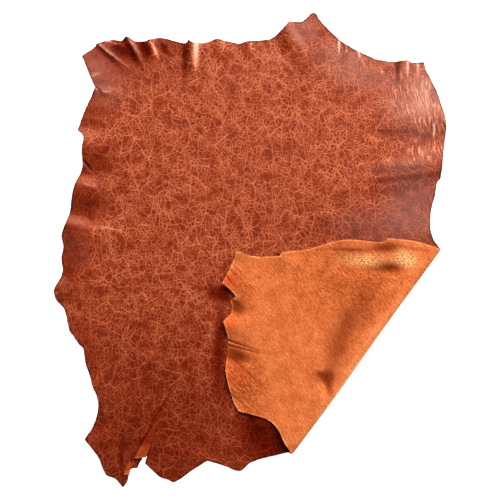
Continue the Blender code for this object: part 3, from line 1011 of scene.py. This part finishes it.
def add(tree, kind, inputs, output=0, **settings):
    """Add a node with its settings, and return one of its outputs.

    Inputs go by name, or by place in a tuple. Each takes a plain value or another node's output.
    """
    made = tree.nodes.new(kind)
    for name, value in settings.items():
        setattr(made, name, value)
    for name, value in inputs.items() if isinstance(inputs, dict) else enumerate(inputs):
        if isinstance(value, bpy.types.NodeSocket):
            tree.links.new(value, made.inputs[name])
        else:
            made.inputs[name].default_value = value
    return made.outputs[output]


def start_material(name):
    """A new material and its shader."""
    material = bpy.data.materials.new(name)
    material.use_nodes = True
    return material, material.node_tree.nodes["Principled BSDF"]


def carried(tree):
    """What the sheet carries at each place: its flat place in metres, and its values by name."""
    values = {"flat": add(tree, "ShaderNodeUVMap", {}, uv_map="flat")}
    for name in ("rim", "shade", "worn", "crinkled", "painted_sheen"):
        values[name] = add(tree, "ShaderNodeAttribute", {}, "Fac", attribute_name=name)
    return values


def wandering(tree, place, length, distance):
    """Places moved about by a distance, so that what is drawn on them wanders within a length."""
    spread = {"Vector": place, "Scale": 1 / length}
    drift = add(tree, "ShaderNodeTexNoise", spread, "Color", noise_dimensions="2D")
    centred = add(tree, "ShaderNodeVectorMath", (drift, (0.5, 0.5, 0.5)), operation="SUBTRACT")
    moved = (centred, (distance, distance, 0.0), place)
    return add(tree, "ShaderNodeVectorMath", moved, operation="MULTIPLY_ADD")


def stretched(tree, place, turn, long):
    """Places for a pattern that is drawn out along the second axis, turned by degrees."""
    spread = {"Vector": place, "Rotation": (0.0, 0.0, math.radians(turn)), "Scale": (1.0, long, 1.0)}
    return add(tree, "ShaderNodeMapping", spread, vector_type="TEXTURE")


def clouds(tree, place, length, low, high, detail=2.0):
    """Soft clouds of a length, 0 where their noise is below low and 1 where it is above high."""
    spread = {"Vector": place, "Scale": 1 / length, "Detail": detail}
    cloud = add(tree, "ShaderNodeTexNoise", spread, "Fac", noise_dimensions="2D")
    span = {"Value": cloud, "From Min": low, "From Max": high}
    return add(tree, "ShaderNodeMapRange", span, interpolation_type="SMOOTHSTEP")


def marks(tree, place, feature, cell, reach):
    """1 on a feature of cells of a size, their edges or their middles, and 0 from a reach away."""
    spread = {"Vector": place, "Scale": 1 / cell}
    away = add(tree, "ShaderNodeTexVoronoi", spread, "Distance", feature=feature, voronoi_dimensions="2D")
    span = {"Value": away, "From Min": 0.0, "From Max": reach / cell, "To Min": 1.0, "To Max": 0.0}
    return add(tree, "ShaderNodeMapRange", span, interpolation_type="SMOOTHSTEP")


def beside_rim(tree, rim, reach):
    """1 at the sheet's rim and 0 from a reach inwards."""
    span = {"Value": rim, "From Min": 0.0, "From Max": reach, "To Min": 1.0, "To Max": 0.0}
    return add(tree, "ShaderNodeMapRange", span)


def layered(tree, start, layers):
    """A start value with patterns added to it, each times its share."""
    for pattern, share in layers:
        start = add(tree, "ShaderNodeMath", (pattern, share, start), operation="MULTIPLY_ADD")
    return start


def masked(tree, pattern, *masks):
    """A pattern kept where its masks are 1, and gone where one is 0."""
    for mask in masks:
        pattern = add(tree, "ShaderNodeMath", (pattern, mask), operation="MULTIPLY")
    return pattern


def dyed(tree, tone, stops):
    """The colours of a dye at places from 0 to 1, read at a tone."""
    colour = add(tree, "ShaderNodeValToRGB", {"Fac": tone})
    elements = colour.node.color_ramp.elements
    for place in list(stops)[1:-1]:
        elements.new(place)
    for element, (place, stop) in zip(elements, stops.items()):
        element.position = place
        element.color = (*linear(stop), 1.0)
    return colour


def coated(tree, colour, coats):
    """A colour with coats laid over it in turn: the way each mixes, its share, and its own colour."""
    for way, share, coat in coats:
        mixed = {"Factor": share, "A": colour, "B": (*linear(coat), 1.0)}
        colour = add(tree, "ShaderNodeMix", mixed, "Result", data_type="RGBA", blend_type=way)
    return colour


def tone_and_light_coats(tree, shade, deep, painted_highlight):
    """Coats: deeper dye and painted shade above 0, painted shadow above 1, painted highlight well below 0.
    """
    beyond = layered(tree, -1.0, [(shade, 1.0)])
    pale = layered(tree, -0.3, [(shade, -1.3)])
    return [("MULTIPLY", shade, deep), ("MULTIPLY", beyond, PAINTED_SHADOW_TINT), ("MIX", pale, painted_highlight)]


def nets(tree, place, rows):
    """Nets of crackle lines laid over each other, each pale where its own patches are."""
    web = 0.0
    for row in rows:
        drawn = stretched(tree, place, row.turn, row.long)
        lines = marks(tree, drawn, "DISTANCE_TO_EDGE", row.cell * MM, row.width * MM)
        patches = clouds(tree, drawn, row.patch * MM, low=0.29, high=0.56)
        net = masked(tree, lines, patches, row.pale)
        web = add(tree, "ShaderNodeMath", (web, net), operation="MAXIMUM")
    return web


def dress(tree, shader, colour, rough, height, strength, depth):
    """Give the shader its colour, its roughness and its relief of a depth."""
    relief = add(tree, "ShaderNodeBump", {"Height": height, "Strength": strength, "Distance": depth})
    for socket, value in (("Base Color", colour), ("Roughness", rough), ("Normal", relief)):
        tree.links.new(value, shader.inputs[socket])


def crackled_leather():
    """Aniline-dyed goat leather with a glazed finish that has crackled.

    The eye sees dark red-brown islands in a web of paler, orange-tan lines, and a soft gloss.
    """
    material, shader = start_material("crackled_aniline_leather")
    tree = material.node_tree
    sheet = carried(tree)
    flat, shade, crinkled = sheet["flat"], sheet["shade"], sheet["crinkled"]
    broad = wandering(tree, flat, length=60 * MM, distance=14 * MM)
    middle = wandering(tree, broad, length=22 * MM, distance=5 * MM)
    wavy = wandering(tree, middle, length=7 * MM, distance=1.6 * MM)

    # Where the colour is deeper, from dye or painted shade, much of the fine web and less of the broad one
    # is hidden, and worn glaze shows little of both.
    fine = layered(tree, 1.1, [(shade, -0.5)])
    fine = add(tree, "ShaderNodeMath", (fine, 0.7), operation="MAXIMUM")
    bold = layered(tree, 1.0, [(shade, -0.2)])
    bold = add(tree, "ShaderNodeMath", (bold, 0.6), operation="MAXIMUM")
    fine_web = masked(tree, nets(tree, wavy, FINE_CRACKLE), fine)
    bold_web = masked(tree, nets(tree, wavy, BROAD_CRACKLE), bold)
    web = add(tree, "ShaderNodeMath", (fine_web, bold_web), operation="MAXIMUM")
    unworn = layered(tree, 1.0, [(sheet["worn"], -0.6)])
    smooth = layered(tree, 1.0, [(crinkled, -0.4)])
    web = masked(tree, web, unworn, smooth)

    pores = marks(tree, wavy, "F1", cell=6 * MM, reach=1.7 * MM)
    pores = masked(tree, pores, clouds(tree, flat, 40 * MM, low=0.5, high=0.7), fine)
    crinkle = clouds(tree, stretched(tree, wavy, turn=9, long=6), 3.6 * MM, low=0.3, high=0.75, detail=3.0)
    crinkle = layered(tree, -0.35, [(crinkle, 1.0)])
    crinkle = masked(tree, crinkle, crinkled, clouds(tree, wavy, 30 * MM, low=0.3, high=0.6))
    pale = add(tree, "ShaderNodeMath", (shade, 0.0), operation="MINIMUM")
    # Crinkle streaks are painted highlight and shade; pale is paler dye or painted highlight.
    tones = [
        (web, 0.75),
        (pores, -0.12),
        (clouds(tree, wavy, 5 * MM, low=0.28, high=0.72, detail=3.0), 0.15),
        (clouds(tree, wavy, 22 * MM, low=0.28, high=0.72, detail=3.0), 0.1),
        (crinkle, 1.35),
        (pale, -0.5),
    ]
    edge = beside_rim(tree, sheet["rim"], 5 * MM)
    edge = masked(tree, edge, clouds(tree, flat, 15 * MM, low=0.35, high=0.65))
    # Coats of deeper dye with painted shade and painted highlights, the painted sheen, and a rim darker in
    # places.
    coats = tone_and_light_coats(tree, shade, deep="#b67a54", painted_highlight="#e8b094")
    coats += [("MIX", sheet["painted_sheen"], "#b08c80"), ("MULTIPLY", edge, "#40241c")]
    colour = coated(tree, dyed(tree, layered(tree, 0.0, tones), GRAIN_DYE), coats)
    rough = layered(tree, 0.44, [(shade, -0.16)])
    height = layered(tree, 0.0, [(crinkle, 4.0), (web, -1.0)])
    dress(tree, shader, colour, rough, height, strength=0.6, depth=0.3 * MM)
    shader.inputs["IOR"].default_value = 1.42
    shader.inputs["Specular Tint"].default_value = (*linear("#ffd0b0"), 1.0)
    return material


def suede_leather():
    """The flesh side, buffed to a nap and dyed orange: matt, with fine fibres that lie one way.

    Where it is worn, the fibres are pressed smooth: glossier, with pale gold glints painted on as specks.
    Its cut rim is paler in places, where the dye has not gone in.
    """
    material, shader = start_material("buffed_suede_leather")
    tree = material.node_tree
    sheet = carried(tree)
    flat, worn = sheet["flat"], sheet["worn"]
    wavy = wandering(tree, flat, length=12 * MM, distance=4 * MM)
    fibre = clouds(tree, stretched(tree, wavy, turn=74, long=5), 2.6 * MM, low=0.3, high=0.7, detail=3.0)
    nap = clouds(tree, flat, 3.2 * MM, low=0.3, high=0.7, detail=3.0)
    mottle = clouds(tree, wavy, 26 * MM, low=0.3, high=0.7, detail=4.0)
    pits = clouds(tree, stretched(tree, wavy, turn=58, long=2.5), 3.6 * MM, low=0.3, high=0.55, detail=3.0)
    hollows = layered(tree, 1.0, [(pits, -1.0)])
    wrinkle = add(tree, "ShaderNodeMath", (hollows, nets(tree, wavy, SUEDE_WRINKLES)), operation="MAXIMUM")
    wrinkle = masked(tree, wrinkle, sheet["crinkled"])
    pale = add(tree, "ShaderNodeMath", (sheet["shade"], 0.0), operation="MINIMUM")
    bare = beside_rim(tree, sheet["rim"], 4 * MM)
    bare = masked(tree, bare, clouds(tree, flat, 24 * MM, low=0.25, high=0.55))
    # Wrinkles are darkened with painted shade; pale lifts the dye where painted highlights are.
    tones = [(mottle, 0.25), (nap, 0.36), (fibre, 0.3), (wrinkle, -0.8), (pale, -0.6), (bare, 0.7)]

    redder = layered(tree, 0.0, [(worn, -1.0)])
    glints = clouds(tree, stretched(tree, flat, turn=20, long=2.2), 2 * MM, low=0.42, high=0.6, detail=3.0)
    pressed = add(tree, "ShaderNodeMath", (worn, 0.0), operation="MAXIMUM")
    glints = masked(tree, glints, pressed)
    # Coats of deeper dye with painted shade and painted highlights, a redder tone, and painted glints.
    coats = tone_and_light_coats(tree, sheet["shade"], deep="#a88450", painted_highlight="#ffc890")
    coats += [("MULTIPLY", redder, "#ffb48c"), ("MIX", masked(tree, glints, 0.7), "#ffd890")]
    colour = coated(tree, dyed(tree, layered(tree, 0.0, tones), SUEDE_DYE), coats)
    rough = layered(tree, 0.85, [(glints, -0.45)])
    height = layered(tree, 0.0, [(nap, 1.0), (fibre, 1.0), (wrinkle, -3.0)])
    dress(tree, shader, colour, rough, height, strength=0.5, depth=0.4 * MM)
    shader.inputs["IOR"].default_value = 1.2
    return material


def cut_edge():
    """The cut edge: bare, matt fibres, as dark as the deep dye beside them."""
    material, shader = start_material("raw_cut_leather_edge")
    shader.inputs["Base Color"].default_value = (*linear("#74351a"), 1.0)
    shader.inputs["Roughness"].default_value = 0.9
    shader.inputs["IOR"].default_value = 1.1
    return material


def finish_hide():
    """Give the sheet its thickness and finishes, and let it stand for the solid."""
    hide = make_sheet()
    for material in (crackled_leather(), suede_leather(), cut_edge()):
        hide.data.materials.append(material)
    solidify = hide.modifiers.new("thickness", "SOLIDIFY")
    solidify.thickness = THICKNESS
    solidify.offset = 1.0
    solidify.material_offset = 1
    solidify.material_offset_rim = 2
    bpy.context.view_layer.objects.active = hide
    with bpy.context.temp_override(object=hide, active_object=hide, selected_objects=[hide]):
        bpy.ops.object.modifier_apply(modifier=solidify.name)
    hide.data.set_sharp_from_angle(angle=SHARP_ANGLE)
    for vert in hide.data.vertices:
        vert.co.z = max(vert.co.z, 0.0)

    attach(hide, "root")
    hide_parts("hide")


def make_floor():
    """A plain pale floor that the hide lies on."""
    bm = bmesh.new()
    bmesh.ops.create_grid(bm, x_segments=1, y_segments=1, size=FLOOR_REACH)
    bmesh.ops.translate(bm, verts=bm.verts, vec=(0, 0, -FLOOR_GAP))
    mesh = bpy.data.meshes.new("floor")
    bm.to_mesh(mesh)
    bm.free()
    floor = bpy.data.objects.new("floor", mesh)
    bpy.context.scene.collection.objects.link(floor)
    material, shader = start_material("matt_white_board")
    shader.inputs["Base Color"].default_value = (*linear("#f2f2f2"), 1.0)
    shader.inputs["Roughness"].default_value = 0.9
    shader.inputs["Emission Color"].default_value = (1.0, 1.0, 1.0, 1.0)
    shader.inputs["Emission Strength"].default_value = 0.8
    mesh.materials.append(material)


def light_scene():
    """Square soft boxes that face the hide, and walls that are pale near the horizon only."""
    for box in SOFT_BOXES:
        data = bpy.data.lights.new(box.name, "AREA")
        data.size = box.size
        data.energy = box.watts
        lamp = bpy.data.objects.new(box.name, data)
        lamp.location = box.place
        lamp.rotation_euler = Vector(box.place).to_track_quat("Z", "Y").to_euler()
        bpy.context.scene.collection.objects.link(lamp)
    world = bpy.data.worlds.new("studio")
    bpy.context.scene.world = world
    world.use_nodes = True
    tree = world.node_tree
    direction = add(tree, "ShaderNodeTexCoord", {}, "Generated")
    height = add(tree, "ShaderNodeSeparateXYZ", {"Vector": direction}, "Z")
    walls = {"From Min": WALL_TOP, "From Max": CEILING, "To Min": WALL_GLOW, "To Max": TOP_GLOW}
    strength = add(tree, "ShaderNodeMapRange", {"Value": height, **walls}, interpolation_type="SMOOTHSTEP")
    tree.links.new(strength, tree.nodes["Background"].inputs["Strength"])
    bpy.context.scene.view_settings.view_transform = "Standard"


def place_camera():
    """Straight above the hide, where its view is as wide as it has to be."""
    data = bpy.data.cameras.new("camera")
    data.lens = LENS
    data.sensor_width = SENSOR_WIDTH
    camera = bpy.data.objects.new("camera", data)
    camera.location = (0.0, 0.0, VIEW_WIDTH * LENS / SENSOR_WIDTH)
    bpy.context.scene.collection.objects.link(camera)
    bpy.context.scene.camera = camera


GRAIN_FRAMES = framed(GRAIN_CREASES)
BODY_FRAMES = framed(BODY_FOLDS) + GRAIN_FRAMES
CORNER_FRAMES = framed(CORNER_FOLDS)
FLESH_FRAMES = framed(FLESH_CREASES)
TEAR_FRAMES = framed(TEARS)

place_camera()
light_scene()
make_floor()
finish_hide()
